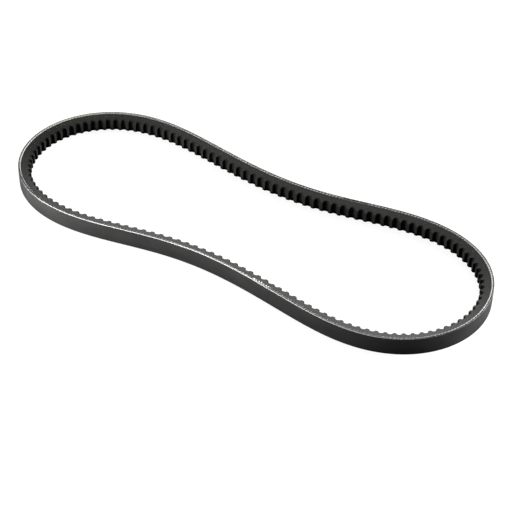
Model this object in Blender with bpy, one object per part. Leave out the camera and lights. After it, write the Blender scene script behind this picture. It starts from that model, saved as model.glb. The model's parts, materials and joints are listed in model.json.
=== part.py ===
"""Raw-edge cogged V belt, endless, 13 mm wide, relaxed and lying on its edge.

Frame: origin at the middle of the loop and of the belt's width, +X along the
loop's long axis, +Z across the belt's width.  The back of the belt faces out
of the loop and the cogs face in.

The belt is four plies: the back cover, the tensile cord layer, the cushion
rubber under the cords and the cogged compression rubber.  A rubber belt bends
everywhere, so the loop is divided at cog notches into rigid lengths, hinged on
the cord line, which keeps its length when the belt bends.  The pivots are
empties, chained outwards both ways from the length opposite the splice.
"""

import math

import bmesh
import bpy
import numpy as np

MM = 0.001

# ---------------------------------------------------------------- belt section
# depths are measured from the back face
TOP_WIDTH = 13.0 * MM          # across the back
HEIGHT = 8.65 * MM             # back face to cog tips
FLANK_DEG = 20.0               # each flank leans in by this much
PLY_GAP = 0.1 * MM             # between neighbouring plies
COVER_DEPTH = 0.85 * MM        # back cover, whose edges are cut square
CORD_TOP = COVER_DEPTH + PLY_GAP
CORD_BOTTOM = 1.85 * MM
CUSHION_TOP = CORD_BOTTOM + PLY_GAP
CUSHION_BOTTOM = 3.95 * MM
COG_TOP = CUSHION_BOTTOM + PLY_GAP
NOTCH_ROOT = 6.45 * MM         # middle of the notch floor
NOTCH_SHOULDER = 6.60 * MM     # where the notch floor meets its walls
CORD_LINE = 0.5 * (CORD_TOP + CORD_BOTTOM)

# plies of constant section: top and bottom depth
PLAIN_PLIES = {
    "back_cover": (0.0, COVER_DEPTH),
    "tensile_cord": (CORD_TOP, CORD_BOTTOM),
    "cushion_rubber": (CUSHION_TOP, CUSHION_BOTTOM),
}
COGGED_PLY = "cog_rubber"

# one cog: share of a pitch from the notch's middle, and the depth there
COG_OUTLINE = (
    (0.16, NOTCH_SHOULDER),
    (0.31, HEIGHT),
    (0.69, HEIGHT),
    (0.84, NOTCH_SHOULDER),
)

# ---------------------------------------------------------------- rigid lengths
# cogs in each length, anticlockwise from the splice
SEGMENT_COGS = (3, 14, 7, 7, 20, 6, 6, 7, 14, 7, 7, 20, 6, 6, 4)
SEGMENT_COUNT = len(SEGMENT_COGS)
ROOT_SEGMENT = (SEGMENT_COUNT + 1) // 2   # the middle one, opposite the splice
PIVOT_GAP = 1.4 * MM           # between two lengths, at a notch
SPLICE_GAP = 0.6 * MM          # between the first and the last length

# ---------------------------------------------------------------- loop
COG_PITCH = 6.18 * MM          # along the cord line
COG_COUNT = sum(SEGMENT_COGS)
SPLICE_COG = 108.75            # cog pitches from the +X end to the splice
STEPS_PER_COG = 400            # steps in which the cord line is traced

# What the heading adds to a circle's: waves per turn, cosine and sine share
# in radians.  The first row waists the loop, the others make it uneven.
HEADING_WAVES = (
    (2, 0.0, 0.777),
    (4, -0.021, -0.035),
    (6, 0.0, -0.015),
    (8, -0.009, 0.0),
)

# ---------------------------------------------------------------- materials
# ply: colour, roughness
FINISH = {
    "back_cover": ((0.060, 0.062, 0.060, 1.0), 0.55),
    "tensile_cord": ((0.78, 0.77, 0.73, 1.0), 0.75),
    "cushion_rubber": ((0.030, 0.031, 0.030, 1.0), 0.70),
    COGGED_PLY: ((0.016, 0.017, 0.016, 1.0), 0.80),
}


def ply_material(ply):
    colour, roughness = FINISH[ply]
    material = bpy.data.materials.new(ply)
    material.use_nodes = True
    shader = material.node_tree.nodes["Principled BSDF"]
    shader.inputs["Base Color"].default_value = colour
    shader.inputs["Roughness"].default_value = roughness
    shader.inputs["Metallic"].default_value = 0.0
    material.diffuse_color = colour
    return material


# ---------------------------------------------------------------- geometry
def half_width(depth):
    """Half the belt's width at a depth below its back face."""
    lean = max(0.0, depth - COVER_DEPTH) * math.tan(math.radians(FLANK_DEG))
    return 0.5 * TOP_WIDTH - lean


def unit(vector):
    return vector / np.linalg.norm(vector)


def inward(heading):
    """The normal on the left of a heading, which is the cog side."""
    return np.array([-heading[1], heading[0]])


def cord_line():
    """The cord line at each notch, counted from the splice, anticlockwise."""
    count = COG_COUNT * STEPS_PER_COG
    turn = (np.arange(count) + 0.5) / count * 2 * math.pi
    heading = 0.5 * math.pi + turn
    for waves, cosine, sine in HEADING_WAVES:
        heading += cosine * np.cos(waves * turn) + sine * np.sin(waves * turn)
    steps = np.c_[np.cos(heading), np.sin(heading)] * COG_PITCH / STEPS_PER_COG
    trace = np.vstack([[0.0, 0.0], np.cumsum(steps, axis=0)])
    centre = trace[:-1].mean(axis=0)
    notches = (SPLICE_COG + np.arange(COG_COUNT + 1)) % COG_COUNT
    return trace[np.rint(notches * STEPS_PER_COG).astype(int)] - centre


def stations(notches, first, last):
    """Points and inward normals of one length, cut square to its ends."""
    lead = SPLICE_GAP if first == 0 else PIVOT_GAP
    tail = SPLICE_GAP if last == COG_COUNT else PIVOT_GAP
    points = list(notches[first:last + 1])
    points[0] = points[0] + unit(points[1] - points[0]) * 0.5 * lead
    points[-1] = points[-1] - unit(points[-1] - points[-2]) * 0.5 * tail
    sides = [inward(unit(end - start)) for start, end in zip(points, points[1:])]
    mitres = [unit(before + after) for before, after in zip(sides, sides[1:])]
    return points, [sides[0], *mitres, sides[-1]]


# ---------------------------------------------------------------- plies
def ply_object(name, mesh, material, collection, parent):
    """One closed ply, its caps welded and its faces turned outwards."""
    solid = bmesh.new()
    solid.from_mesh(mesh)
    bmesh.ops.remove_doubles(solid, verts=solid.verts, dist=0.001 * MM)
    bmesh.ops.recalc_face_normals(solid, faces=solid.faces)
    if solid.calc_volume(signed=True) < 0:
        bmesh.ops.reverse_faces(solid, faces=solid.faces)
    solid.to_mesh(mesh)
    solid.free()
    mesh.name = name
    mesh.materials.append(material)
    ply = bpy.data.objects.new(name, mesh)
    ply.parent = parent
    collection.objects.link(ply)


def section_guide(name, top, bottom, collection):
    """The section a plain ply is swept with; its X is towards the back."""
    curve = bpy.data.curves.new(name, "CURVE")
    curve.dimensions = "2D"
    spline = curve.splines.new("POLY")
    corners = (
        (CORD_LINE - bottom, half_width(bottom)),
        (CORD_LINE - bottom, -half_width(bottom)),
        (CORD_LINE - top, -half_width(top)),
        (CORD_LINE - top, half_width(top)),
    )
    spline.points.add(len(corners) - 1)
    for control, (x, y) in zip(spline.points, corners):
        control.co = (x, y, 0.0, 1.0)
    spline.use_cyclic_u = True
    guide = bpy.data.objects.new(name, curve)
    guide.hide_render = True
    guide.display_type = "WIRE"
    collection.objects.link(guide)
    return guide


def swept_mesh(name, points, pivot, guide, collection):
    """A length of a plain ply: its section swept along the cord line."""
    curve = bpy.data.curves.new(name, "CURVE")
    curve.dimensions = "3D"
    curve.twist_mode = "Z_UP"
    spline = curve.splines.new("POLY")
    spline.points.add(len(points) - 1)
    for control, point in zip(spline.points, points):
        x, y = point - pivot
        control.co = (x, y, 0.0, 1.0)
    curve.bevel_mode = "OBJECT"
    curve.bevel_object = guide
    curve.use_fill_caps = True
    sweep = bpy.data.objects.new(name + "_sweep", curve)
    collection.objects.link(sweep)
    graph = bpy.context.evaluated_depsgraph_get()
    mesh = bpy.data.meshes.new_from_object(sweep.evaluated_get(graph))
    bpy.data.objects.remove(sweep, do_unlink=True)
    bpy.data.curves.remove(curve)
    return mesh


def cog_rings(points, normals):
    """Rings of the cogged ply: place, inward normal and depth of each."""
    rings = [(points[0], normals[0], NOTCH_ROOT)]
    last_cog = len(points) - 2
    for cog in range(last_cog + 1):
        start, span = points[cog], points[cog + 1] - points[cog]
        start_normal = normals[cog]
        normal_change = normals[cog + 1] - start_normal
        reach = np.linalg.norm(span) / COG_PITCH
        for share, depth in COG_OUTLINE:
            # the two end cogs start or stop short, at the gap
            along = share
            if cog == 0:
                along = (share - (1.0 - reach)) / reach
            elif cog == last_cog:
                along = share / reach
            place = start + span * along
            rings.append((place, start_normal + normal_change * along, depth))
        rings.append((points[cog + 1], normals[cog + 1], NOTCH_ROOT))
    return rings


def cogged_mesh(name, rings, pivot):
    """A length of the compression rubber: a loft, because its depth changes."""
    solid = bmesh.new()
    loops = []
    for place, normal, depth in rings:
        loop = []
        for level, side in ((COG_TOP, 1), (COG_TOP, -1), (depth, -1), (depth, 1)):
            x, y = place + normal * (level - CORD_LINE) - pivot
            loop.append(solid.verts.new((x, y, side * half_width(level))))
        loops.append(loop)
    for near, far in zip(loops, loops[1:]):
        for i in range(4):
            j = (i + 1) % 4
            solid.faces.new((near[i], near[j], far[j], far[i]))
    solid.faces.new(loops[0][::-1])
    solid.faces.new(loops[-1])
    mesh = bpy.data.meshes.new(name)
    solid.to_mesh(mesh)
    solid.free()
    return mesh


# ---------------------------------------------------------------- pivots
def pivot_places(notches, ends):
    """A length turns about its end nearer the root, whose own pivot is midway."""
    places = {}
    for number in range(1, SEGMENT_COUNT + 1):
        start, end = notches[ends[number - 1]], notches[ends[number]]
        if number < ROOT_SEGMENT:
            places[number] = end
        elif number > ROOT_SEGMENT:
            places[number] = start
        else:
            places[number] = 0.5 * (start + end)
    return places


def pivot_chain(places, collection):
    """The empties, each parented to its neighbour nearer the root."""
    empties = {}
    for number in sorted(places, key=lambda n: abs(n - ROOT_SEGMENT)):
        empty = bpy.data.objects.new(f"pivot_{number:02d}", None)
        empty.empty_display_size = 5 * MM
        collection.objects.link(empty)
        x, y = places[number]
        if number != ROOT_SEGMENT:
            inner = number + 1 if number < ROOT_SEGMENT else number - 1
            empty.parent = empties[inner]
            x, y = places[number] - places[inner]
        empty.location = (x, y, 0.0)
        empties[number] = empty
    return empties


# ---------------------------------------------------------------- belt
def new_collection(name):
    old = bpy.data.collections.get(name)
    if old:
        bpy.data.collections.remove(old)
    collection = bpy.data.collections.new(name)
    bpy.context.scene.collection.children.link(collection)
    return collection


def build():
    for old in list(bpy.data.objects):
        bpy.data.objects.remove(old, do_unlink=True)
    belt = new_collection("v_belt")
    guides = new_collection("guides")
    materials = {ply: ply_material(ply) for ply in FINISH}
    sections = {
        ply: section_guide(ply + "_section", top, bottom, guides)
        for ply, (top, bottom) in PLAIN_PLIES.items()
    }
    notches = cord_line()
    ends = [sum(SEGMENT_COGS[:number]) for number in range(SEGMENT_COUNT + 1)]
    pivots = pivot_places(notches, ends)
    empties = pivot_chain(pivots, belt)

    for number, pivot in pivots.items():
        points, normals = stations(notches, ends[number - 1], ends[number])
        for ply, guide in sections.items():
            name = f"{ply}_{number:02d}"
            mesh = swept_mesh(name, points, pivot, guide, belt)
            ply_object(name, mesh, materials[ply], belt, empties[number])
        name = f"{COGGED_PLY}_{number:02d}"
        mesh = cogged_mesh(name, cog_rings(points, normals), pivot)
        ply_object(name, mesh, materials[COGGED_PLY], belt, empties[number])
    bpy.context.view_layer.update()


build()
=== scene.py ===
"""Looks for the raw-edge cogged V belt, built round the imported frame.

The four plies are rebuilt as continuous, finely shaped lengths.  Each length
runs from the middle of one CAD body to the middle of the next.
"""

import math

import bpy
import numpy as np
from mathutils import Matrix, Vector, noise
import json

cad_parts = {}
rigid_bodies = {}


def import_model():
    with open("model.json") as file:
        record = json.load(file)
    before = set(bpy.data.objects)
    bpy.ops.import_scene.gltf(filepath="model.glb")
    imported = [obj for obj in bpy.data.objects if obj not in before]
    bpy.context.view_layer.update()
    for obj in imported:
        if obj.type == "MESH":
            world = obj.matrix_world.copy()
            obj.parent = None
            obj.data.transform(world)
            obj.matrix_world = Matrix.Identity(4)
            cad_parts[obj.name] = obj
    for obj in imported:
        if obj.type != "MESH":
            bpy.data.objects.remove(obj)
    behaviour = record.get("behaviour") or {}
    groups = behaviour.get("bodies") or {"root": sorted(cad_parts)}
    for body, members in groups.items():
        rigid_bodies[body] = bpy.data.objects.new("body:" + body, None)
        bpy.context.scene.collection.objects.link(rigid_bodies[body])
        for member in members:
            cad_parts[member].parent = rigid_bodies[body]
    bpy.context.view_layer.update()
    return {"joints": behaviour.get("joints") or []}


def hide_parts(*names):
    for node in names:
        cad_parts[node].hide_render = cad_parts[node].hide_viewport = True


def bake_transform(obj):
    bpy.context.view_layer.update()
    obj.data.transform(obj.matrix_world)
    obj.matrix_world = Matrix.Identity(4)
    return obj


MM = 0.001

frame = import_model()

# ------------------------------------------------------------------ belt
TOP_WIDTH = 13.0
HEIGHT = 8.65
COVER_DEPTH = 0.85
FLANK = math.tan(math.radians(20.0))
CORD_TOP, CORD_BOTTOM = 0.95, 1.92
CUSHION_TOP, CUSHION_BOTTOM = 1.95, 4.02
COG_TOP = 4.03
NOTCH_ROOT = 6.45
CORD_LINE = 1.4

PITCH = 6.18
COGS = 134
BOW, BOW_4C, BOW_4S, BOW_6S, BOW_8C = 0.777, -0.021, -0.035, -0.015, -0.009
SPLICE_COG = 108.75
HALF = COGS // 2
SEGMENT_COGS = (3, 14, 7, 7, 20, 6, 6, 7, 14, 7, 7, 20, 6, 6, 4)


# ------------------------------------------------------------------ cord line
STEPS = 400


def heading(u):
    return (
        0.5 * math.pi
        + u
        + BOW * np.sin(2 * u)
        + BOW_4C * np.cos(4 * u)
        + BOW_4S * np.sin(4 * u)
        + BOW_6S * np.sin(6 * u)
        + BOW_8C * np.cos(8 * u)
    )


def integrate():
    count = COGS * STEPS
    u = (np.arange(count) + 0.5) / count * 2 * math.pi
    a = heading(u)
    step = COGS * PITCH / count
    path = np.vstack(
        [[0.0, 0.0], np.cumsum(np.c_[np.cos(a), np.sin(a)] * step, axis=0)]
    )
    centre = 0.5 * (path[:-1] + np.roll(path[:-1], -count // 2, axis=0)).mean(axis=0)
    return path - centre


PATH = integrate()


def on_path(t):
    """Cord line in mm at t cog pitches from the splice, and its inward normal."""
    t = np.atleast_1d(np.asarray(t, float))
    s = (t + SPLICE_COG) % COGS
    x = s * STEPS
    i = np.minimum(np.floor(x).astype(int), COGS * STEPS - 1)
    f = (x - i)[:, None]
    p = PATH[i] * (1 - f) + PATH[i + 1] * f
    a = heading(s / COGS * 2 * math.pi)
    return p, np.c_[-np.sin(a), np.cos(a)], np.c_[np.cos(a), np.sin(a)]


def half_width(depth):
    return 0.5 * TOP_WIDTH - max(0.0, depth - COVER_DEPTH) * FLANK


def wobble(x, y, z=0.0):
    """Smooth, repeatable unevenness between -1 and 1."""
    return noise.noise(Vector((x, y, z)))


def ramp(x, lo, hi):
    v = min(1.0, max(0.0, (x - lo) / (hi - lo)))
    return v * v * v * (v * (6 * v - 15) + 10)


# ------------------------------------------------------------------ lengths
ENDS = [0]
for n in SEGMENT_COGS:
    ENDS.append(ENDS[-1] + n)
COUNT = len(SEGMENT_COGS)
# a seam at the notch nearest the middle of each body; the first and last reach the splice
SEAMS = [0.0]
for k in range(1, COUNT - 1):
    SEAMS.append(float(round(0.5 * (ENDS[k] + ENDS[k + 1]) - 0.01)))
SEAMS.append(float(COGS))
JOINTS = {frozenset((j["parent"], j["child"])) for j in frame["joints"]}


def bend_line(j):
    """Where length j (between bodies j and j + 1) would start and stop bending."""
    a, b = SEAMS[j - 1], SEAMS[j]
    if b == COGS:
        b -= 1e-6
    (pa, pb), (na, nb), _ = on_path([a, b])
    d = (pb - pa) / np.linalg.norm(pb - pa)
    reach = np.array([-CORD_LINE, HEIGHT - CORD_LINE])
    start = pa + d * max(0.0, (reach * (na @ d)).max())
    end = pb + d * min(0.0, (reach * (nb @ d)).min())
    return (
        (start[0] * MM, start[1] * MM, 0.0),
        (end[0] * MM, end[1] * MM, 0.0),
    )


WALLS = (0.0, 0.08, 0.15, 0.205, 0.245, 0.275, 0.297, 0.313, 0.328, 0.342, 0.356, 0.370, 0.386, 0.42, 0.5)


def stations(j, per_pitch):
    """Places along length j; per_pitch 0 crowds them on the notch walls."""
    a, b = SEAMS[j - 1], SEAMS[j]
    if per_pitch:
        return np.linspace(a, b, int(round((b - a) * per_pitch)) + 1)
    half = [*WALLS, *(1.0 - w for w in WALLS[-2:0:-1])]
    marks = [i + w for i in range(int(a) - 1, int(b) + 1) for w in half]
    marks = [m + drift(m) for m in marks if m > 0.0]
    return np.array([a, *(m for m in marks if a + 0.015 < m < b - 0.015), b])


def sweep(name, ts, rows, materials, attributes=None):
    """A closed length through rows of (depth, z, across, material)."""
    m = len(rows[0])
    tt = np.array(ts, float).copy()
    # the two faces at the splice keep a hair's width between them
    if abs(tt[0]) < 1e-9:
        tt[0] += 0.01
    if abs(tt[-1] - COGS) < 1e-9:
        tt[-1] -= 0.01
    p, n, _ = on_path(np.where(tt >= COGS, COGS - 1e-7, tt))
    co = np.empty((len(ts), m, 3))
    for i, r in enumerate(rows):
        depth = np.array([q[0] for q in r])
        z = np.array([q[1] for q in r])
        co[i, :, 0] = p[i, 0] + n[i, 0] * (depth - CORD_LINE)
        co[i, :, 1] = p[i, 1] + n[i, 1] * (depth - CORD_LINE)
        co[i, :, 2] = z
    step = np.hypot(
        np.diff(np.array([[q[0] for q in r] + [r[0][0]] for r in rows]), axis=1),
        np.diff(np.array([[q[1] for q in r] + [r[0][1]] for r in rows]), axis=1),
    )
    around = np.c_[np.zeros(len(ts)), np.cumsum(step, axis=1)]
    verts = (co.reshape(-1, 3) * MM).tolist()
    faces, mats, uvs = [], [], []
    kinds = [q[3] for q in rows[0]]
    for i in range(len(ts) - 1):
        for k in range(m):
            k2 = (k + 1) % m
            faces.append((i * m + k, i * m + k2, (i + 1) * m + k2, (i + 1) * m + k))
            mats.append(kinds[k])
            s0, s1 = ts[i] * PITCH, ts[i + 1] * PITCH
            uvs += [
                (s0, around[i, k]),
                (s0, around[i, k + 1]),
                (s1, around[i + 1, k + 1]),
                (s1, around[i + 1, k]),
            ]
    first = tuple(range(m - 1, -1, -1))
    last = tuple((len(ts) - 1) * m + k for k in range(m))
    for cap in (first, last):
        faces.append(cap)
        mats.append(kinds[0])
        uvs += [(verts[v][0] / MM, verts[v][2] / MM) for v in cap]
    # the section may run either way round: turn the skin outwards
    d, z = np.array([q[:2] for q in rows[0]]).T
    if (d * np.roll(z, -1) - np.roll(d, -1) * z).sum() < 0:
        at = 0
        turned = []
        for f in faces:
            turned += uvs[at : at + len(f)][::-1]
            at += len(f)
        faces = [f[::-1] for f in faces]
        uvs = turned
    mesh = bpy.data.meshes.new(name)
    mesh.from_pydata(verts, [], faces)
    mesh.update()
    for material in materials:
        mesh.materials.append(material)
    mesh.polygons.foreach_set("material_index", mats)
    mesh.polygons.foreach_set("use_smooth", [True] * len(faces))
    layer = mesh.uv_layers.new(name="UVMap")
    layer.data.foreach_set("uv", np.array(uvs, np.float32).ravel())
    for key, values in (attributes or {}).items():
        a = mesh.attributes.new(key, "FLOAT", "POINT")
        a.data.foreach_set("value", np.asarray(values, np.float32).ravel())
    mesh.validate()
    mesh.set_sharp_from_angle(angle=math.radians(38))
    obj = bpy.data.objects.new(name, mesh)
    bpy.context.scene.collection.objects.link(obj)
    return obj


def place(obj, j, nodes):
    start, end = bend_line(j)
    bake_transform(obj)
    if nodes:
        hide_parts(*nodes)


# ------------------------------------------------------------------ node helpers
class Graph:
    def __init__(self, name):
        self.material = bpy.data.materials.new(name)
        self.material.use_nodes = True
        self.tree = self.material.node_tree
        self.shader = self.tree.nodes["Principled BSDF"]

    def node(self, kind, **values):
        made = self.tree.nodes.new(kind)
        for key, value in values.items():
            if hasattr(made, key):
                setattr(made, key, value)
            else:
                made.inputs[key.replace("_", " ")].default_value = value
        return made

    def link(self, a, b):
        self.tree.links.new(a, b)

    def uv(self, sx, sy):
        """Belt coordinates: along the belt and round its section, scaled."""
        where = self.node("ShaderNodeUVMap", uv_map="UVMap")
        scale = self.node("ShaderNodeMapping")
        scale.inputs["Scale"].default_value = (sx, sy, 1.0)
        self.link(where.outputs["UV"], scale.inputs["Vector"])
        return scale.outputs["Vector"]

    def world(self, s):
        where = self.node("ShaderNodeTexCoord")
        scale = self.node("ShaderNodeMapping")
        scale.inputs["Scale"].default_value = (s, s, s)
        self.link(where.outputs["Object"], scale.inputs["Vector"])
        return scale.outputs["Vector"]

    def noise(self, vector, scale=1.0, detail=3.0, rough=0.55):
        made = self.node("ShaderNodeTexNoise")
        made.inputs["Scale"].default_value = scale
        made.inputs["Detail"].default_value = detail
        made.inputs["Roughness"].default_value = rough
        self.link(vector, made.inputs["Vector"])
        return made.outputs["Fac"]

    def math(self, op, a, b=None, clamp=False):
        made = self.node("ShaderNodeMath", operation=op, use_clamp=clamp)
        for socket, value in zip(made.inputs, (a, b)):
            if value is None:
                continue
            if isinstance(value, (int, float)):
                socket.default_value = value
            else:
                self.link(value, socket)
        return made.outputs[0]

    def span(self, value, a, b, c=0.0, d=1.0, smooth=False):
        made = self.node("ShaderNodeMapRange")
        made.interpolation_type = "SMOOTHSTEP" if smooth else "LINEAR"
        made.clamp = True
        self.link(value, made.inputs["Value"])
        for key, v in zip(("From Min", "From Max", "To Min", "To Max"), (a, b, c, d)):
            made.inputs[key].default_value = v
        return made.outputs["Result"]

    def mix(self, factor, a, b):
        made = self.node("ShaderNodeMix", data_type="RGBA")
        made.clamp_factor = True
        if isinstance(factor, (int, float)):
            made.inputs["Factor"].default_value = factor
        else:
            self.link(factor, made.inputs["Factor"])
        for key, value in ((6, a), (7, b)):
            if isinstance(value, tuple):
                made.inputs[key].default_value = (*value, 1.0)
            else:
                self.link(value, made.inputs[key])
        return made.outputs[2]

    def bump(self, height, strength, distance, normal=None):
        made = self.node("ShaderNodeBump")
        made.inputs["Strength"].default_value = strength
        made.inputs["Distance"].default_value = distance
        self.link(height, made.inputs["Height"])
        if normal is not None:
            self.link(normal, made.inputs["Normal"])
        return made.outputs["Normal"]

    def finish(self, colour, rough, normal, specular=0.5, sheen=0.0):
        s = self.shader
        if isinstance(colour, tuple):
            s.inputs["Base Color"].default_value = (*colour, 1.0)
        else:
            self.link(colour, s.inputs["Base Color"])
        if isinstance(rough, (int, float)):
            s.inputs["Roughness"].default_value = rough
        else:
            self.link(rough, s.inputs["Roughness"])
        if normal is not None:
            self.link(normal, s.inputs["Normal"])
        if isinstance(specular, float):
            s.inputs["Specular IOR Level"].default_value = specular
        else:
            self.link(specular, s.inputs["Specular IOR Level"])
        s.inputs["Sheen Weight"].default_value = sheen
        s.inputs["Sheen Roughness"].default_value = 0.5
        return self.material


def cover_material():
    """Calendered back: fine cloth print, lengthwise streaks, light scuffs."""
    g = Graph("back_cover_rubber")
    warp = g.node("ShaderNodeTexWave", wave_type="BANDS", bands_direction="DIAGONAL")
    warp.inputs["Scale"].default_value = 0.42
    warp.inputs["Distortion"].default_value = 0.6
    warp.inputs["Detail"].default_value = 1.0
    g.link(g.uv(1.0, 1.0), warp.inputs["Vector"])
    weft = g.node("ShaderNodeTexWave", wave_type="BANDS", bands_direction="DIAGONAL")
    weft.inputs["Scale"].default_value = 0.42
    weft.inputs["Distortion"].default_value = 0.6
    weft.inputs["Detail"].default_value = 1.0
    g.link(g.uv(1.0, -1.0), weft.inputs["Vector"])
    cloth = g.math("MULTIPLY", warp.outputs["Fac"], weft.outputs["Fac"])
    streak = g.noise(g.uv(0.03, 1.1), 1.0, 4.0, 0.6)
    patch = g.noise(g.uv(0.05, 0.09), 1.0, 3.0, 0.5)
    grain = g.noise(g.uv(6.0, 6.0), 1.0, 2.0, 0.7)
    scuff = g.span(g.noise(g.uv(0.25, 3.2), 1.0, 5.0, 0.7), 0.63, 0.78, 0.0, 1.0)
    tone_and_painted_shade = g.math("ADD", g.math("MULTIPLY", streak, 0.5), g.math("MULTIPLY", patch, 0.5))
    base = g.mix(g.span(tone_and_painted_shade, 0.3, 0.7), (0.0085, 0.0090, 0.0085), (0.0175, 0.0182, 0.0170))
    base = g.mix(g.math("MULTIPLY", scuff, 0.35), base, (0.075, 0.076, 0.072))
    base = g.mix(g.math("MULTIPLY", cloth, 0.25), base, (0.034, 0.035, 0.033))
    # pale cover edge: partly worn fabric, partly a painted highlight along the corner
    edge = g.node("ShaderNodeAttribute", attribute_name="edge")
    ragged = g.noise(g.uv(0.7, 0.9), 1.0, 4.0, 0.65)
    rub_and_highlight = g.math("ADD", edge.outputs["Fac"], g.math("SUBTRACT", ragged, 0.5))
    rub_and_highlight = g.span(rub_and_highlight, 0.30, 0.80, 0.0, 1.0)
    pale = g.mix(g.span(edge.outputs["Fac"], 0.84, 0.96), (0.66, 0.66, 0.64), (0.92, 0.92, 0.90))
    base = g.mix(rub_and_highlight, base, pale)
    rough = g.span(g.math("ADD", grain, scuff), 0.3, 1.2, 0.42, 0.66)
    normal = g.bump(g.math("ADD", cloth, g.math("MULTIPLY", grain, 0.5)), 0.35, 0.00006)
    normal = g.bump(streak, 0.25, 0.0003, normal)
    where = g.node("ShaderNodeSeparateXYZ")
    g.link(g.world(1.0), where.inputs[0])
    handled = g.math("ADD", g.span(where.outputs["Z"], -0.0065, 0.0065), g.math("MULTIPLY", g.math("SUBTRACT", patch, 0.5), 1.2))
    return g.finish(base, rough, normal, g.span(handled, 0.0, 1.0, 0.24, 0.50), 0.04)


def flank_material(name, dark, light, fleck, sheen, worn_and_highlight=False):
    """Ground raw edge: cross scratches, short fibres cut through, dust."""
    g = Graph(name)
    scratch = g.noise(g.uv(7.0, 0.55), 1.0, 3.0, 0.7)
    fibre = g.noise(g.uv(2.4, 9.0), 1.0, 2.0, 0.6)
    cut = g.span(fibre, 0.62, 0.70, 0.0, 1.0)
    patch = g.noise(g.uv(0.12, 0.35), 1.0, 4.0, 0.6)
    grain = g.noise(g.uv(5.0, 5.0), 1.0, 3.0, 0.75)
    tone_and_painted_shade = g.math("ADD", g.math("MULTIPLY", scratch, 0.45), g.math("MULTIPLY", patch, 0.55))
    base = g.mix(g.span(tone_and_painted_shade, 0.32, 0.68), dark, light)
    base = g.mix(g.math("MULTIPLY", cut, 0.4), base, fleck)
    if worn_and_highlight:
        # pale cut edge: partly worn fabric, partly a painted highlight
        edge = g.node("ShaderNodeAttribute", attribute_name="edge")
        frayed = g.noise(g.uv(0.9, 1.6), 1.0, 4.0, 0.65)
        amount = g.math("ADD", edge.outputs["Fac"], g.math("SUBTRACT", frayed, 0.5))
        rubbed = g.mix(g.span(edge.outputs["Fac"], 0.62, 0.74), (0.29, 0.29, 0.28), (0.66, 0.66, 0.64))
        rubbed = g.mix(g.span(edge.outputs["Fac"], 0.74, 0.86), rubbed, (0.88, 0.88, 0.86))
        base = g.mix(g.span(amount, 0.40, 1.05, 0.0, 0.9), base, rubbed)
        stain = g.node("ShaderNodeAttribute", attribute_name="stain")
        base = g.mix(g.math("MULTIPLY", stain.outputs["Fac"], 0.25), base, (0.24, 0.235, 0.15))
    else:
        stain = g.node("ShaderNodeAttribute", attribute_name="stain")
        seep = g.math("MULTIPLY", stain.outputs["Fac"], g.span(patch, 0.35, 0.6, 0.1, 0.7))
        base = g.mix(seep, base, (0.019, 0.0185, 0.008))
        # painted shade: the flank's colour and shine are scaled down along part of the loop
        tone_and_painted_shade = g.node("ShaderNodeAttribute", attribute_name="tone_and_painted_shade").outputs["Fac"]
        base = g.mix(tone_and_painted_shade, (0.0006, 0.0007, 0.0006), base)
    rough = g.span(grain, 0.3, 0.7, 0.62, 0.86)
    height = g.math("ADD", g.math("MULTIPLY", scratch, 0.6), grain)
    normal = g.bump(height, 0.55, 0.00009)
    return g.finish(base, rough, normal, 0.32 if worn_and_highlight else g.math("MULTIPLY", tone_and_painted_shade, 0.32), sheen)


def moulded_material():
    """Notch walls and cog tips: moulded against cloth, matt black."""
    g = Graph("cog_moulded_rubber")
    across = g.noise(g.uv(3.5, 0.3), 1.0, 3.0, 0.6)
    grain = g.noise(g.uv(4.5, 4.5), 1.0, 3.0, 0.7)
    patch = g.noise(g.uv(0.2, 0.2), 1.0, 3.0, 0.6)
    base = g.mix(
        g.span(g.math("MULTIPLY", g.math("ADD", across, patch), 0.5), 0.35, 0.65),
        (0.0024, 0.0026, 0.0023),
        (0.0062, 0.0066, 0.0060),
    )
    # painted light: a little lighter colour in each notch, more on one wall than the other
    notch_light_mask = g.node("ShaderNodeAttribute", attribute_name="notch_light_mask")
    base = g.mix(g.math("MULTIPLY", notch_light_mask.outputs["Fac"], g.span(patch, 0.3, 0.6, 0.65, 1.0)), base, (0.013, 0.0136, 0.0125))
    tip = g.node("ShaderNodeAttribute", attribute_name="tip")
    base = g.mix(g.math("MULTIPLY", tip.outputs["Fac"], 0.72), base, (0.016, 0.017, 0.015))
    # painted shade: the edge it stands on, next to the floor, is painted darker and duller
    where = g.node("ShaderNodeSeparateXYZ")
    g.link(g.world(1.0), where.inputs[0])
    painted_floor_shade = g.span(where.outputs["Z"], -0.0031, -0.0014)
    base = g.mix(painted_floor_shade, (0.0022, 0.0024, 0.0021), base)
    rough = g.span(grain, 0.3, 0.7, 0.5, 0.78)
    normal = g.bump(g.math("ADD", across, g.math("MULTIPLY", grain, 0.7)), 0.5, 0.00008)
    shine = g.math("MULTIPLY", g.span(tip.outputs["Fac"], 0.0, 1.0, 0.06, 0.22), painted_floor_shade)
    return g.finish(base, rough, normal, shine, 0.0)


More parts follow.
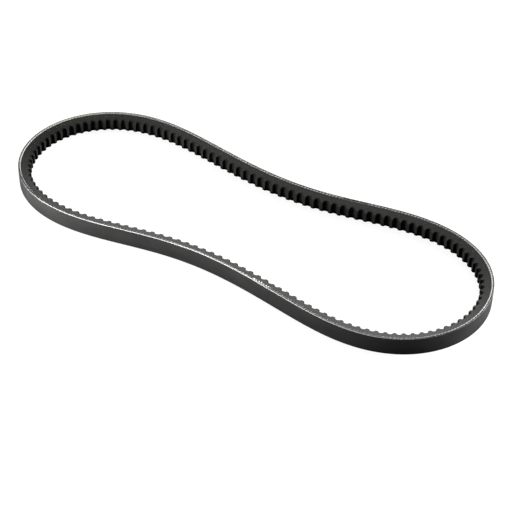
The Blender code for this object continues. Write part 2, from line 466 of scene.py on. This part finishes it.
def cord_cut_material():
    """Off-white cord laid open by the flank cut, with rubber between."""
    g = Graph("tensile_cord_cut")
    where = g.node("ShaderNodeAttribute", attribute_name="across")
    cover = g.node("ShaderNodeAttribute", attribute_name="cut")
    off = g.math("ABSOLUTE", g.math("SUBTRACT", where.outputs["Fac"], 0.22))
    broken = g.noise(g.uv(0.62, 0.3), 1.0, 4.0, 0.65)
    fine = g.noise(g.uv(3.2, 2.0), 1.0, 3.0, 0.7)
    amount = g.math("SUBTRACT", g.math("MULTIPLY", cover.outputs["Fac"], 1.55), 0.42)
    amount = g.math("SUBTRACT", amount, g.math("MULTIPLY", off, 1.5))
    loose = g.math("MINIMUM", g.math("MULTIPLY", g.math("SUBTRACT", 1.08, cover.outputs["Fac"]), 2.6), 1.9)
    wave = g.math("MULTIPLY", g.math("SUBTRACT", broken, 0.5), loose)
    amount = g.math("ADD", amount, wave)
    amount = g.math("ADD", amount, g.math("MULTIPLY", g.math("SUBTRACT", fine, 0.5), 0.5))
    twist = g.node("ShaderNodeTexWave", wave_type="BANDS", bands_direction="DIAGONAL")
    twist.inputs["Scale"].default_value = 0.27
    twist.inputs["Distortion"].default_value = 0.9
    twist.inputs["Detail"].default_value = 2.0
    g.link(g.uv(1.0, 1.2), twist.inputs["Vector"])
    # where little of the cord is cut it shows as short slanting strokes
    stroke = g.math("MULTIPLY", g.math("SUBTRACT", twist.outputs["Fac"], 0.5), loose)
    stroke = g.math("MULTIPLY", stroke, g.span(cover.outputs["Fac"], 0.16, 0.50, 0.0, 0.85))
    amount = g.math("ADD", amount, stroke)
    white = g.span(amount, -0.04, 0.10)
    yarn = g.mix(twist.outputs["Fac"], (0.34, 0.34, 0.325), (0.78, 0.78, 0.76))
    yarn = g.mix(g.span(fine, 0.35, 0.6), (0.32, 0.32, 0.30), yarn)
    dirty = g.math(
        "MINIMUM",
        g.span(cover.outputs["Fac"], 0.46, 0.58, 0.05, 0.45),
        g.span(cover.outputs["Fac"], 0.58, 0.95, 0.45, 0.0),
    )
    yarn = g.mix(dirty, yarn, (0.07, 0.07, 0.065))
    stain = g.node("ShaderNodeAttribute", attribute_name="stain")
    yarn = g.mix(g.math("MULTIPLY", stain.outputs["Fac"], 0.35), yarn, (0.36, 0.35, 0.21))
    base = g.mix(white, (0.020, 0.0205, 0.0195), yarn)
    height = g.math("ADD", g.math("MULTIPLY", twist.outputs["Fac"], 0.6), fine)
    normal = g.bump(height, 0.6, 0.00012)
    return g.finish(base, 0.78, normal, 0.3, 0.15)


def cord_body_material():
    """Dipped cord, seen only where the plies part."""
    g = Graph("tensile_cord_body")
    twist = g.node("ShaderNodeTexWave", wave_type="BANDS", bands_direction="DIAGONAL")
    twist.inputs["Scale"].default_value = 0.5
    twist.inputs["Distortion"].default_value = 0.8
    g.link(g.uv(1.0, 1.6), twist.inputs["Vector"])
    dirt = g.noise(g.uv(0.6, 0.8), 1.0, 4.0, 0.6)
    base = g.mix(twist.outputs["Fac"], (0.30, 0.27, 0.21), (0.66, 0.63, 0.55))
    base = g.mix(g.span(dirt, 0.45, 0.7, 0.0, 0.6), base, (0.10, 0.09, 0.07))
    return g.finish(base, 0.8, g.bump(twist.outputs["Fac"], 0.5, 0.0001), 0.3, 0.1)


def fibre_material():
    g = Graph("frayed_fibre")
    n = g.noise(g.world(900.0), 1.0, 2.0, 0.5)
    base = g.mix(g.span(n, 0.35, 0.65), (0.50, 0.49, 0.46), (0.90, 0.89, 0.86))
    return g.finish(base, 0.7, g.bump(n, 0.3, 0.00002), 0.3, 0.2)


COVER = cover_material()
COVER_CUT = flank_material(
    "back_cover_cut_edge", (0.0045, 0.0048, 0.0044), (0.010, 0.0106, 0.0096), (0.05, 0.05, 0.047), 0.02, True
)
CUSHION = flank_material(
    "cushion_rubber_cut", (0.0050, 0.0055, 0.0047), (0.0125, 0.0137, 0.0118), (0.055, 0.058, 0.052), 0.08
)
COG_CUT = flank_material(
    "cog_rubber_cut", (0.0050, 0.0055, 0.0047), (0.0125, 0.0137, 0.0118), (0.055, 0.058, 0.052), 0.08
)
COG_MOULDED = moulded_material()
CORD_CUT = cord_cut_material()
CORD_BODY = cord_body_material()
FIBRE = fibre_material()


# ------------------------------------------------------------------ sections
def arc_points(cx, cz, r, a0, a1, n):
    out = []
    for i in range(n + 1):
        a = math.radians(a0 + (a1 - a0) * i / n)
        out.append((cx + r * math.cos(a), cz + r * math.sin(a)))
    return out


def along(marks, t):
    """Straight lines between (place, value) marks, round the loop."""
    t = t % COGS
    for (a, x), (b, y) in zip(marks, marks[1:]):
        if a <= t <= b:
            return x + (y - x) * (t - a) / (b - a)
    return marks[-1][1]


# pale edge along the loop: partly wear, partly a painted highlight on the cover's corner and cut edge
WORN_EDGE_AND_HIGHLIGHT = (
    (0, 0.40), (12, 0.35), (20, 0.22), (26, 0.15), (32, 0.10), (52, 0.10),
    (58, 0.30), (64, 0.58), (78, 0.62), (90, 0.58), (94, 0.10), (101, 0.05), (106, 0.10),
    (111, 0.26), (120, 0.35), (124.5, 0.86), (131.5, 0.88), (132.2, 0.74), (134, 0.40),
)
CORNER_RUB_AND_HIGHLIGHT = (
    (0, 0.75), (12, 0.65), (18, 0.35), (26, 0.20), (32, 0.0), (96, 0.0), (99, 0.25),
    (102, 0.46), (105, 0.54), (108, 0.65), (113, 0.82), (121, 0.82), (124.5, 1.0), (131.5, 1.0), (132.5, 0.78), (134, 0.75),
)
CUT_OPEN = (
    (0, 0.34), (12, 0.30), (18, 0.70), (26, 0.95), (31, 0.88), (37, 0.70), (43, 0.55), (47.6, 0.50),
    (48.8, 0.20), (51.0, 0.20), (52.4, 0.50), (58, 0.53), (68, 0.50), (78, 0.58), (89, 0.75), (95, 0.86),
    (99, 0.78), (102, 0.42), (104, 0.20), (110, 0.24), (120, 0.36), (124, 0.66), (131, 0.70),
    (131.9, 0.10), (133.8, 0.10), (134, 0.34),
)
# painted shade along the loop: the share of the flank's colour and shine kept at each place
FLANK_PAINTED_SHADE = (
    (0, 1.0), (74, 1.0), (79, 0.66), (86, 0.60), (90, 0.45), (98, 0.52), (104, 0.68), (112, 0.90), (120, 1.0), (134, 1.0),
)
STAIN = ((0, 0.0), (83, 0.0), (86, 1.0), (89, 1.0), (92, 0.0), (134, 0.0))


def cover_section(t):
    """Back cover: crowned back, rubbed corners, square-cut edges."""
    w = 0.5 * TOP_WIDTH
    top = w + min(0.0, 0.035 * wobble(t * 1.7, 3.0) + 0.02 * wobble(t * 5.1, 9.0) - 0.01)
    low = -w - min(0.0, 0.035 * wobble(t * 1.9, 17.0) - 0.01)
    bevel = (
        0.55 + 0.08 * wobble(t * 0.8, 11.0) + 0.06 * wobble(t * 3.1, 13.0),
        0.45 + 0.06 * wobble(t * 0.8, 21.0) + 0.05 * wobble(t * 3.1, 23.0),
    )
    pts = []
    n = 8
    # outer face, from the upper corner to the lower one
    for i in range(n + 1):
        f = i / n
        z = (top - bevel[0]) * (1 - f) + (low + bevel[1]) * f
        crown = 0.09 * (1 - (2 * f - 1) ** 2)
        dip = 0.012 * wobble(t * 0.9, z * 0.5, 4.0)
        pts.append((0.09 - crown + dip, z, 0.0, 0))
    # lower corner and edge
    for f, d in ((0.5, 0.10), (0.8, 0.17), (0.95, 0.27)):
        pts.append((d, low + bevel[1] * (1 - f), 0.0, 0))
    pts.append((0.38, low, 0.0, 1))
    pts.append((COVER_DEPTH - 0.06, low, 0.0, 1))
    pts.append((COVER_DEPTH + 0.02, low + 0.08, 0.0, 1))
    pts.append((COVER_DEPTH + 0.04, low + 1.2, 0.0, 1))
    pts.append((COVER_DEPTH + 0.04, top - 1.2, 0.0, 1))
    pts.append((COVER_DEPTH + 0.02, top - 0.08, 0.0, 1))
    pts.append((COVER_DEPTH - 0.06, top, 0.0, 1))
    pts.append((0.38, top, 0.0, 0))
    for f, d in ((0.95, 0.27), (0.8, 0.17), (0.5, 0.10)):
        pts.append((d, top - bevel[0] * (1 - f), 0.0, 0))
    return pts


def cut_share(t):
    """How much of the outermost cord the flank cut lays open, round the loop."""
    return along(CUT_OPEN, t)


CORDS = 11


def cord_section(t):
    """Side-by-side cords bedded in rubber, cut open at both flanks."""
    pts = []
    mid = 0.5 * (CORD_TOP + CORD_BOTTOM)
    w_top, w_low = half_width(CORD_TOP + 0.05), half_width(CORD_BOTTOM - 0.05)
    inner = half_width(mid) - 0.62
    pitch = 2 * inner / CORDS
    # outer side of the cords, upper to lower
    pts.append((CORD_TOP + 0.04, w_top - 0.03, 0.9, 1))
    for c in range(CORDS):
        z0 = inner - c * pitch
        for f in (0.0, 0.28, 0.72):
            bulge = math.sin(math.pi * f)
            pts.append((CORD_TOP + 0.16 - 0.12 * bulge, z0 - f * pitch, 0.0, 1))
    pts.append((CORD_TOP + 0.04, -w_top + 0.03, 0.0, 0))
    # lower flank, cut face, a little proud where the cord swells
    n = 5
    rise = 0.21 * cut_share(t + HALF)
    for i in range(1, n):
        f = i / n
        d = CORD_TOP + 0.04 + (CORD_BOTTOM - CORD_TOP - 0.08) * f
        z = -(w_top - 0.03) * (1 - f) - (w_low - 0.03) * f
        tw = 0.16 * math.sin(2 * math.pi * (t * PITCH / 1.4 + f * 1.3))
        pts.append((d, z - rise * (1 + tw) * math.sin(math.pi * f), 2 * f - 1, 0))
    pts.append((CORD_BOTTOM - 0.04, -w_low + 0.03, 1.0, 1))
    for c in range(CORDS):
        z0 = -inner + c * pitch
        for f in (0.0, 0.28, 0.72):
            bulge = math.sin(math.pi * f)
            pts.append((CORD_BOTTOM - 0.16 + 0.12 * bulge, z0 + f * pitch, 0.0, 1))
    pts.append((CORD_BOTTOM - 0.04, w_low - 0.03, 1.0, 0))
    rise = 0.21 * cut_share(t)
    for i in range(1, n):
        f = 1 - i / n
        d = CORD_TOP + 0.04 + (CORD_BOTTOM - CORD_TOP - 0.08) * f
        z = (w_top - 0.03) * (1 - f) + (w_low - 0.03) * f
        tw = 0.16 * math.sin(2 * math.pi * (t * PITCH / 1.4 + f * 1.3))
        pts.append((d, z + rise * (1 + tw) * math.sin(math.pi * f), 2 * f - 1, 0))
    return pts


def cushion_section(t):
    """Cushion rubber: plain band, its ground flanks very slightly uneven."""
    pts = []
    levels = [0.0, 0.08, 0.35, 0.65, 1.0]
    span = CUSHION_BOTTOM - CUSHION_TOP
    pts.append((CUSHION_TOP, half_width(CUSHION_TOP) - 0.10, 0.0, 1))
    pts.append((CUSHION_TOP, -half_width(CUSHION_TOP) + 0.10, 0.0, 0))
    for f in levels[1:]:
        d = CUSHION_TOP + span * f
        uneven = 0.018 * wobble(t * 2.3, d * 1.4, 31.0)
        pts.append((d, -half_width(d) - uneven + 0.02, 0.0, 0))
    pts[-1] = (*pts[-1][:3], 1)
    for f in levels[:0:-1]:
        d = CUSHION_TOP + span * f
        uneven = 0.018 * wobble(t * 2.3, d * 1.4, 7.0)
        pts.append((d, half_width(d) + uneven - 0.02, 0.0, 0))
    return pts


TIP = HEIGHT - 0.05
FLOOR_RADIUS = 2.05


def notch_depth(x, tall, wide=1.0):
    """Notch outline x mm from its middle: round floor, steep walls, soft tips."""
    x = x / wide
    turn = 1.85
    if x < turn:
        return FLOOR_RADIUS - math.sqrt(FLOOR_RADIUS**2 - x * x)
    d0 = FLOOR_RADIUS - math.sqrt(FLOOR_RADIUS**2 - turn * turn)
    wall = d0 + 4.0 * (x - turn)
    # a smooth lower of wall and tip
    soft = 0.2
    top = tall + 0.04 - 0.05 * max(0.0, (x - 3.0 / wide) / 0.5) ** 2
    h = min(1.0, max(0.0, 0.5 + 0.5 * (top - wall) / soft))
    return top * (1 - h) + wall * h - soft * h * (1 - h)


def drift(t):
    """Cog pitches by which the moulded strip runs ahead before the splice."""
    return 0.20 * ramp(t % COGS, 100.0, 122.0) if t < COGS else 0.20


def cog_depth(t):
    """Depth of the cogged face."""
    u = t - drift(t)
    i = math.floor(u)
    x = abs((u - i + 0.5) % 1.0 - 0.5) * PITCH
    which = i % COGS
    size = 1.0 + 0.012 * wobble(which * 3.7, 1.0)
    x += 0.05 * wobble(which * 2.9, 5.0) * (1 if (u - i) > 0.5 else -1)
    wide = 1.0
    if which == COGS - 1:
        # the cog at the splice: short, narrow and torn
        size, wide = 0.92, 1.15
    return NOTCH_ROOT + notch_depth(max(0.0, x), TIP * size - NOTCH_ROOT, wide)


def painted_notch_light(t, q):
    """Painted light on the moulded face of each notch: 1 on its floor and near wall."""
    u = t - drift(t)
    s = ((u + 0.5) % 1.0 - 0.5) * PITCH
    return ramp(s, -2.1, -0.9) * (1.0 - ramp(s, 0.3, 1.4))


def cog_section(t):
    depth = cog_depth(t)
    torn = 0.0
    if COGS - 1 < t - drift(t) < COGS:
        torn = ramp(depth, NOTCH_ROOT + 0.4, NOTCH_ROOT + 2.0)
    pts = []
    top = half_width(COG_TOP)
    r = 0.14
    n = 8
    pts.append((COG_TOP, top - 0.02, 0.0, 1))
    pts.append((COG_TOP, -top + 0.02, 0.0, 0))
    rim = 0.55
    levels = (0.15, 0.4, 0.7, 1.0)
    for f in levels:
        d = COG_TOP + (depth - rim - COG_TOP) * f
        uneven = 0.016 * wobble(t * 2.3, d * 1.4, 31.0)
        pts.append((d, -half_width(d) - uneven + 0.02, 0.0, 1 if f == 1.0 else 0))
    d = depth - r
    pts.append((d, -half_width(d) + 0.03, 0.0, 1))
    pts.append((depth - 0.3 * r, -half_width(depth) + 0.06, 0.0, 1))
    for k in range(n + 1):
        f = k / n
        z = (-half_width(depth) + 0.16) * (1 - 2 * f)
        bow = 0.05 * (1 - (2 * f - 1) ** 2)
        rip = 0.0
        if torn:
            rip = torn * (
                0.45 * wobble(z * 0.9, t * 7.0, 2.0)
                + 0.25 * wobble(z * 2.3, t * 13.0, 8.0)
                - 0.15
            )
        pts.append((depth - 0.03 + bow * 0.4 + rip, z, 0.0, 1))
    pts.append((depth - 0.3 * r, half_width(depth) - 0.06, 0.0, 1))
    d = depth - r
    pts.append((d, half_width(d) - 0.03, 0.0, 1))
    for f in levels[::-1]:
        d = COG_TOP + (depth - rim - COG_TOP) * f
        uneven = 0.016 * wobble(t * 2.3, d * 1.4, 7.0)
        pts.append((d, half_width(d) + uneven - 0.02, 0.0, 0))
    return pts


# ------------------------------------------------------------------ fibres
def tube(verts, faces, points, radii, sides=5):
    """A tapering closed hair along points."""
    base = len(verts)
    points = [Vector(p) for p in points]
    ring = []
    for i, p in enumerate(points):
        a = points[max(0, i - 1)]
        b = points[min(len(points) - 1, i + 1)]
        along = (b - a).normalized()
        side = along.cross(Vector((0.13, 0.31, 0.94))).normalized()
        up = along.cross(side).normalized()
        for k in range(sides):
            ang = 2 * math.pi * k / sides
            q = p + (side * math.cos(ang) + up * math.sin(ang)) * radii[i]
            verts.append(tuple(q * MM))
        ring.append(base + i * sides)
    for a, b in zip(ring, ring[1:]):
        for k in range(sides):
            k2 = (k + 1) % sides
            faces.append((a + k, b + k, b + k2, a + k2))
    faces.append(tuple(ring[0] + k for k in range(sides)))
    faces.append(tuple(ring[-1] + k for k in range(sides - 1, -1, -1)))


def flank_point(t, depth, lift, side=1.0):
    (p,), (n,), _ = on_path([t])
    q = p + n * (depth - CORD_LINE)
    return Vector((q[0], q[1], side * (half_width(depth) + lift)))


def fray(j):
    """Loose cord filaments along the cut, thickest round the splice."""
    a, b = SEAMS[j - 1], SEAMS[j]
    rng = np.random.default_rng(100 + j)
    verts, faces = [], []
    count = int((b - a) * 2.2)
    for _ in range(count):
        t = a + 0.3 + (b - a - 0.6) * rng.random()
        side = 1.0 if rng.random() < 0.7 else -1.0
        d = 0.7 + 0.7 * rng.random()
        length = 0.5 + 1.1 * rng.random()
        lean = rng.normal(0.0, 0.5)
        pts, radii = [], []
        for i in range(5):
            f = i / 4
            tt = t + (length * f * math.cos(lean)) / PITCH
            dd = d + length * f * math.sin(lean) * 0.5 + 0.12 * math.sin(4 * f + t)
            lift = -0.03 + 0.16 * math.sin(math.pi * min(1.0, f * 1.1)) * (0.5 + rng.random() * 0.2)
            pts.append(flank_point(min(tt, b - 0.02), max(dd, 0.6), lift, side))
            radii.append(0.045 * (1 - 0.6 * f))
        tube(verts, faces, pts, radii)
    if j == COUNT - 1:
        # the cord's end at the splice: one strand zigzags over the flank
        turns = 7
        start, stop = COGS - 2.3, COGS - 0.06
        pts, radii = [], []
        steps = 100
        for i in range(steps + 1):
            f = i / steps
            a = 2 * math.pi * f * turns
            tall = 0.68 + 0.10 * math.sin(0.37 * a + 0.6)
            tt = start + (stop - start) * f + 0.035 * math.sin(a)
            dd = 0.80 + 0.10 * f + tall * (1 - math.cos(a)) + 0.05 * math.sin(23 * f)
            pts.append(flank_point(tt, dd, 0.08 + 0.03 * (1 - math.cos(a))))
            radii.append(
                0.20 * (0.85 + 0.15 * math.sin(17 * f)) * min(1.0, 14 * f + 0.25, 14 * (1 - f) + 0.25)
            )
        tube(verts, faces, pts, radii, 9)
        # tufts pulled from it
        for i in range(22):
            t = start + (stop - start) * rng.random()
            d = 0.9 + 1.1 * rng.random()
            length = 0.5 + 1.0 * rng.random()
            ang = rng.normal(0.2, 0.9)
            up = 0.16 + 0.16 * rng.random()
            pts, radii = [], []
            for s in range(5):
                f = s / 4
                tt = t + length * f * math.cos(ang) / PITCH
                dd = d + length * f * math.sin(ang) * 0.8
                pts.append(flank_point(min(tt, COGS - 0.05), dd, -0.02 + up * f))
                radii.append(0.06 * (1 - 0.6 * f))
            tube(verts, faces, pts, radii)
    name = "frayed_fibres_%02d" % j
    mesh = bpy.data.meshes.new(name)
    mesh.from_pydata(verts, [], faces)
    mesh.materials.append(FIBRE)
    mesh.polygons.foreach_set("use_smooth", [True] * len(faces))
    mesh.update()
    obj = bpy.data.objects.new(name, mesh)
    bpy.context.scene.collection.objects.link(obj)
    return obj


# ------------------------------------------------------------------ build
def nodes_for(ply, j):
    names = ["%s_%02d" % (ply, j)]
    if j == COUNT - 1:
        names.append("%s_%02d" % (ply, COUNT))
    return names


def spread(j, per_pitch, section):
    ts = stations(j, per_pitch)
    return ts, [section(float(t)) for t in ts]


def per_point(ts, rows, value):
    """An attribute: value(place, point) with the place turned half round below."""
    return [value(float(t), q) for t, row in zip(ts, rows) for q in row]


# pale edge mask: partly wear, partly a painted highlight, stronger on the upper corner
def worn_and_highlight(t, q):
    t = t if q[1] > 0 else t + HALF
    if q[3] == 1:
        return along(WORN_EDGE_AND_HIGHLIGHT, t)
    wide = ramp(t, 98.5, 101.0) - ramp(t, 103.5, 106.5)
    start = 5.9 + 0.24 * (ramp(t, 121.0, 125.0) - ramp(t, 131.0, 133.0)) - 1.7 * wide
    reach = min(1.0 - 0.25 * wide, max(0.0, (abs(q[1]) - start) / (0.35 + 0.5 * wide)))
    return reach * along(CORNER_RUB_AND_HIGHLIGHT, t) * (1.0 if q[1] > 0 else 0.35)


def stained(t, q):
    return along(STAIN, t) if q[1] > 0 else 0.0


def painted_flank_shade(t, q):
    return along(FLANK_PAINTED_SHADE, t)


def laid_open(t, q):
    return cut_share(t if q[1] > 0 else t + HALF)


for j in range(1, COUNT):
    ts, rows = spread(j, 8, cover_section)
    o = sweep(
        "back_cover_visual_%02d" % j,
        ts,
        rows,
        [COVER, COVER_CUT],
        {"edge": per_point(ts, rows, worn_and_highlight), "stain": per_point(ts, rows, stained)},
    )
    place(o, j, nodes_for("back_cover", j))

    ts, rows = spread(j, 16, cord_section)
    o = sweep(
        "tensile_cord_visual_%02d" % j,
        ts,
        rows,
        [CORD_CUT, CORD_BODY],
        {
            "across": per_point(ts, rows, lambda t, q: q[2]),
            "cut": per_point(ts, rows, laid_open),
            "stain": per_point(ts, rows, stained),
        },
    )
    place(o, j, nodes_for("tensile_cord", j))

    ts, rows = spread(j, 8, cushion_section)
    o = sweep(
        "cushion_rubber_visual_%02d" % j,
        ts,
        rows,
        [CUSHION, CORD_BODY],
        {"stain": per_point(ts, rows, stained), "tone_and_painted_shade": per_point(ts, rows, painted_flank_shade)},
    )
    place(o, j, nodes_for("cushion_rubber", j))

    ts, rows = spread(j, 0, cog_section)
    tip = per_point(ts, rows, lambda t, q: max(0.0, min(1.0, (q[0] - HEIGHT + 0.5) / 0.35)))
    marks = {"tip": tip, "notch_light_mask": per_point(ts, rows, painted_notch_light), "tone_and_painted_shade": per_point(ts, rows, painted_flank_shade)}
    o = sweep("cog_rubber_visual_%02d" % j, ts, rows, [COG_CUT, COG_MOULDED], marks)
    place(o, j, nodes_for("cog_rubber", j))

    o = fray(j)
    place(o, j, [])


# ------------------------------------------------------------------ studio
def area_light(name, where, target, size, size_y, power, colour=(1, 1, 1)):
    data = bpy.data.lights.new(name, "AREA")
    data.shape = "RECTANGLE"
    data.size, data.size_y = size, size_y
    data.energy = power
    data.color = colour
    lamp = bpy.data.objects.new(name, data)
    lamp.location = where
    aim = Vector(target) - Vector(where)
    lamp.rotation_euler = aim.to_track_quat("-Z", "Y").to_euler()
    lamp.visible_camera = False
    bpy.context.scene.collection.objects.link(lamp)
    return lamp


AZIMUTH, ELEVATION, ROLL = math.radians(30.520), math.radians(40.715), math.radians(0.932)
DISTANCE = 1.01635
LENS = 108.73
GROUND = -0.0065
HALF_PIXEL = 0.5 / 510


def from_camera(x, y, z):
    """A point given by right, away and up as the camera stands."""
    c, s = math.cos(AZIMUTH), math.sin(AZIMUTH)
    return Vector((x * c - y * s, x * s + y * c, z))


def floor_material():
    """White sweep: near white to the eye, dimmer to the belt's reflections."""
    g = Graph("floor_white")
    tone_and_painted_shade = g.span(g.noise(g.world(3.0)), 0.3, 0.7)
    g.finish(g.mix(tone_and_painted_shade, (0.14, 0.14, 0.14), (0.16, 0.16, 0.16)), 0.9, None, 0.1)
    glow = g.node("ShaderNodeEmission")
    glow.inputs["Strength"].default_value = 0.92
    both = g.node("ShaderNodeAddShader")
    path = g.node("ShaderNodeLightPath")
    pick = g.node("ShaderNodeMixShader")
    out = g.tree.nodes["Material Output"]
    g.link(g.shader.outputs[0], both.inputs[0])
    g.link(glow.outputs[0], both.inputs[1])
    g.link(path.outputs["Is Camera Ray"], pick.inputs[0])
    g.link(g.shader.outputs[0], pick.inputs[1])
    g.link(both.outputs[0], pick.inputs[2])
    g.link(pick.outputs[0], out.inputs["Surface"])
    return g.material


floor_mesh = bpy.data.meshes.new("floor")
side = 6.0
floor_mesh.from_pydata(
    [(-side, -side, 0), (side, -side, 0), (side, side, 0), (-side, side, 0)], [], [(0, 1, 2, 3)]
)
floor = bpy.data.objects.new("floor", floor_mesh)
floor.location = (0, 0, GROUND - 0.00005)
bpy.context.scene.collection.objects.link(floor)
floor_mesh.materials.append(floor_material())

look = from_camera(0.0066547, -0.0252911, 0.0)
look.z = GROUND
area_light("key_top", from_camera(0.35, 0.3, 1.5), look, 1.3, 1.1, 15)
area_light("left", from_camera(-0.42, -0.10, 0.05), look, 0.22, 0.10, 4.2)
area_light("right", from_camera(0.70, 0.08, 0.20), look, 0.36, 0.26, 13)
area_light("back_strip", from_camera(0.0, 1.7, 0.28), look, 3.2, 0.5, 25)

world = bpy.data.worlds.new("studio")
world.use_nodes = True
tree = world.node_tree
dim = tree.nodes["Background"]
dim.inputs["Color"].default_value = (1, 1, 1, 1)
dim.inputs["Strength"].default_value = 0.06
white = tree.nodes.new("ShaderNodeBackground")
white.inputs["Strength"].default_value = 1.0
ray = tree.nodes.new("ShaderNodeLightPath")
pick = tree.nodes.new("ShaderNodeMixShader")
tree.links.new(ray.outputs["Is Camera Ray"], pick.inputs[0])
tree.links.new(dim.outputs[0], pick.inputs[1])
tree.links.new(white.outputs[0], pick.inputs[2])
tree.links.new(pick.outputs[0], tree.nodes["World Output"].inputs["Surface"])
bpy.context.scene.world = world
bpy.context.scene.view_settings.view_transform = "Standard"

camera_data = bpy.data.cameras.new("camera")
camera_data.lens = LENS
camera_data.sensor_width = 36.0
camera_data.shift_x = -HALF_PIXEL
camera_data.shift_y = HALF_PIXEL
camera_data.clip_start = 0.01
camera_data.clip_end = 50.0
camera = bpy.data.objects.new("camera", camera_data)
back = from_camera(0.0, -math.cos(ELEVATION), math.sin(ELEVATION))
camera.location = look + back * DISTANCE
aim = (look - camera.location).to_track_quat("-Z", "Y").to_matrix().to_4x4()
camera.rotation_euler = (aim @ Matrix.Rotation(ROLL, 4, "Z")).to_euler()
bpy.context.scene.collection.objects.link(camera)
bpy.context.scene.camera = camera
